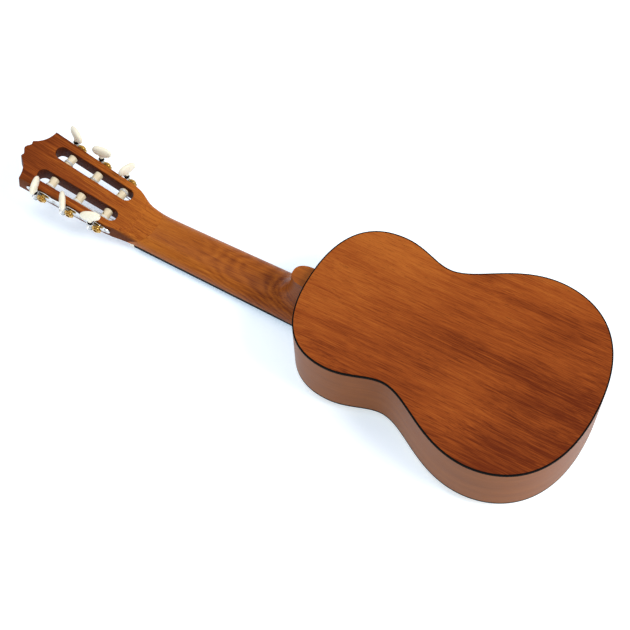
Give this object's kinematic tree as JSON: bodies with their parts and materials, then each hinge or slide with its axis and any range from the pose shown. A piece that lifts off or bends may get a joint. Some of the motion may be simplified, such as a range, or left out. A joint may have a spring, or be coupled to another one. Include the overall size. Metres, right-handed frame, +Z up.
{
  "type": "small six-string guitar",
  "caption": "Small nylon-string guitar lying face down, with a slotted head, geared tuners, a flat back, black binding and a tie bridge.",
  "frame": {"origin": "centre of the bounding box's bottom, under the strings that the guitar lies on", "axes": "+X from the head to the tail, +Y to the bass side, +Z up, out of the back"},
  "size_m": [0.6922, 0.2286, 0.0824],
  "materials": {
    "body_wood": "satin",
    "neck_wood": "satin",
    "soundboard_wood": "satin",
    "inner_wood": "matte",
    "dark_hardwood": "satin",
    "black_binding": "satin",
    "ivory_plastic": "gloss",
    "white_bone": "satin",
    "nylon_string": "gloss",
    "wound_string": "satin",
    "nickel_plate": "polished",
    "brass": "satin"
  },
  "bodies": {
    "root": {"soundboard": "soundboard_wood", "back_plate": "body_wood", "side_bass": "body_wood", "side_treble": "body_wood", "top_binding": "black_binding", "back_binding": "black_binding", "top_lining_bass": "inner_wood", "top_lining_treble": "inner_wood", "back_lining_bass": "inner_wood", "back_lining_treble": "inner_wood", "neck_block": "inner_wood", "tail_block": "inner_wood", "top_brace_upper": "inner_wood", "top_brace_lower": "inner_wood", "back_brace": "inner_wood", "neck_shaft": "neck_wood", "head": "neck_wood", "heel": "neck_wood", "fingerboard": "dark_hardwood", "nut": "white_bone", "bridge": "dark_hardwood", "saddle": "white_bone", "string_1": "nylon_string", "string_2": "nylon_string", "string_3": "nylon_string", "string_4": "wound_string", "string_5": "wound_string", "string_6": "wound_string", "machine_plate_bass": "nickel_plate", "machine_plate_treble": "nickel_plate"},
    "knob_1": {"button_1": "ivory_plastic", "worm_shaft_1": "nickel_plate"},
    "roller_1": {"roller_1": "ivory_plastic", "gear_1": "brass", "winding_1": "nylon_string"},
    "knob_2": {"button_2": "ivory_plastic", "worm_shaft_2": "nickel_plate"},
    "roller_2": {"roller_2": "ivory_plastic", "gear_2": "brass", "winding_2": "nylon_string"},
    "knob_3": {"button_3": "ivory_plastic", "worm_shaft_3": "nickel_plate"},
    "roller_3": {"roller_3": "ivory_plastic", "gear_3": "brass", "winding_3": "nylon_string"},
    "knob_4": {"button_4": "ivory_plastic", "worm_shaft_4": "nickel_plate"},
    "roller_4": {"roller_4": "ivory_plastic", "gear_4": "brass", "winding_4": "wound_string"},
    "knob_5": {"button_5": "ivory_plastic", "worm_shaft_5": "nickel_plate"},
    "roller_5": {"roller_5": "ivory_plastic", "gear_5": "brass", "winding_5": "wound_string"},
    "knob_6": {"button_6": "ivory_plastic", "worm_shaft_6": "nickel_plate"},
    "roller_6": {"roller_6": "ivory_plastic", "gear_6": "brass", "winding_6": "wound_string"}
  },
  "joints": [
    {"name": "knob_turn_1", "type": "hinge", "parent": "root", "child": "knob_1", "pos_m": [-0.23522, -0.03612, 0.03376], "axis": [0.2334, 0, 0.9724], "continuous": true},
    {"name": "roller_turn_1", "type": "hinge", "parent": "root", "child": "roller_1", "pos_m": [-0.2275, -0.03081, 0.0319], "axis": [-0.0494, 0.9987, 0.0119], "continuous": true},
    {"name": "knob_turn_2", "type": "hinge", "parent": "root", "child": "knob_2", "pos_m": [-0.26925, -0.03791, 0.04193], "axis": [0.2334, 0, 0.9724], "continuous": true},
    {"name": "roller_turn_2", "type": "hinge", "parent": "root", "child": "roller_2", "pos_m": [-0.26153, -0.03259, 0.04007], "axis": [-0.0494, 0.9987, 0.0119], "continuous": true},
    {"name": "knob_turn_3", "type": "hinge", "parent": "root", "child": "knob_3", "pos_m": [-0.30328, -0.03969, 0.0501], "axis": [0.2334, 0, 0.9724], "continuous": true},
    {"name": "roller_turn_3", "type": "hinge", "parent": "root", "child": "roller_3", "pos_m": [-0.29556, -0.03438, 0.04824], "axis": [-0.0494, 0.9987, 0.0119], "continuous": true},
    {"name": "knob_turn_4", "type": "hinge", "parent": "root", "child": "knob_4", "pos_m": [-0.30328, 0.03969, 0.0501], "axis": [0.2334, 0, 0.9724], "continuous": true},
    {"name": "roller_turn_4", "type": "hinge", "parent": "root", "child": "roller_4", "pos_m": [-0.29556, 0.03438, 0.04824], "axis": [0.0494, 0.9987, -0.0119], "continuous": true},
    {"name": "knob_turn_5", "type": "hinge", "parent": "root", "child": "knob_5", "pos_m": [-0.26925, 0.03791, 0.04193], "axis": [0.2334, 0, 0.9724], "continuous": true},
    {"name": "roller_turn_5", "type": "hinge", "parent": "root", "child": "roller_5", "pos_m": [-0.26153, 0.03259, 0.04007], "axis": [0.0494, 0.9987, -0.0119], "continuous": true},
    {"name": "knob_turn_6", "type": "hinge", "parent": "root", "child": "knob_6", "pos_m": [-0.23522, 0.03612, 0.03376], "axis": [0.2334, 0, 0.9724], "continuous": true},
    {"name": "roller_turn_6", "type": "hinge", "parent": "root", "child": "roller_6", "pos_m": [-0.2275, 0.03081, 0.0319], "axis": [0.0494, 0.9987, -0.0119], "continuous": true}
  ],
  "couplings": [
    {"joint": "roller_turn_1", "follows": "knob_turn_1", "ratio": -0.071429},
    {"joint": "roller_turn_2", "follows": "knob_turn_2", "ratio": -0.071429},
    {"joint": "roller_turn_3", "follows": "knob_turn_3", "ratio": -0.071429},
    {"joint": "roller_turn_4", "follows": "knob_turn_4", "ratio": -0.071429},
    {"joint": "roller_turn_5", "follows": "knob_turn_5", "ratio": -0.071429},
    {"joint": "roller_turn_6", "follows": "knob_turn_6", "ratio": -0.071429}
  ]
}
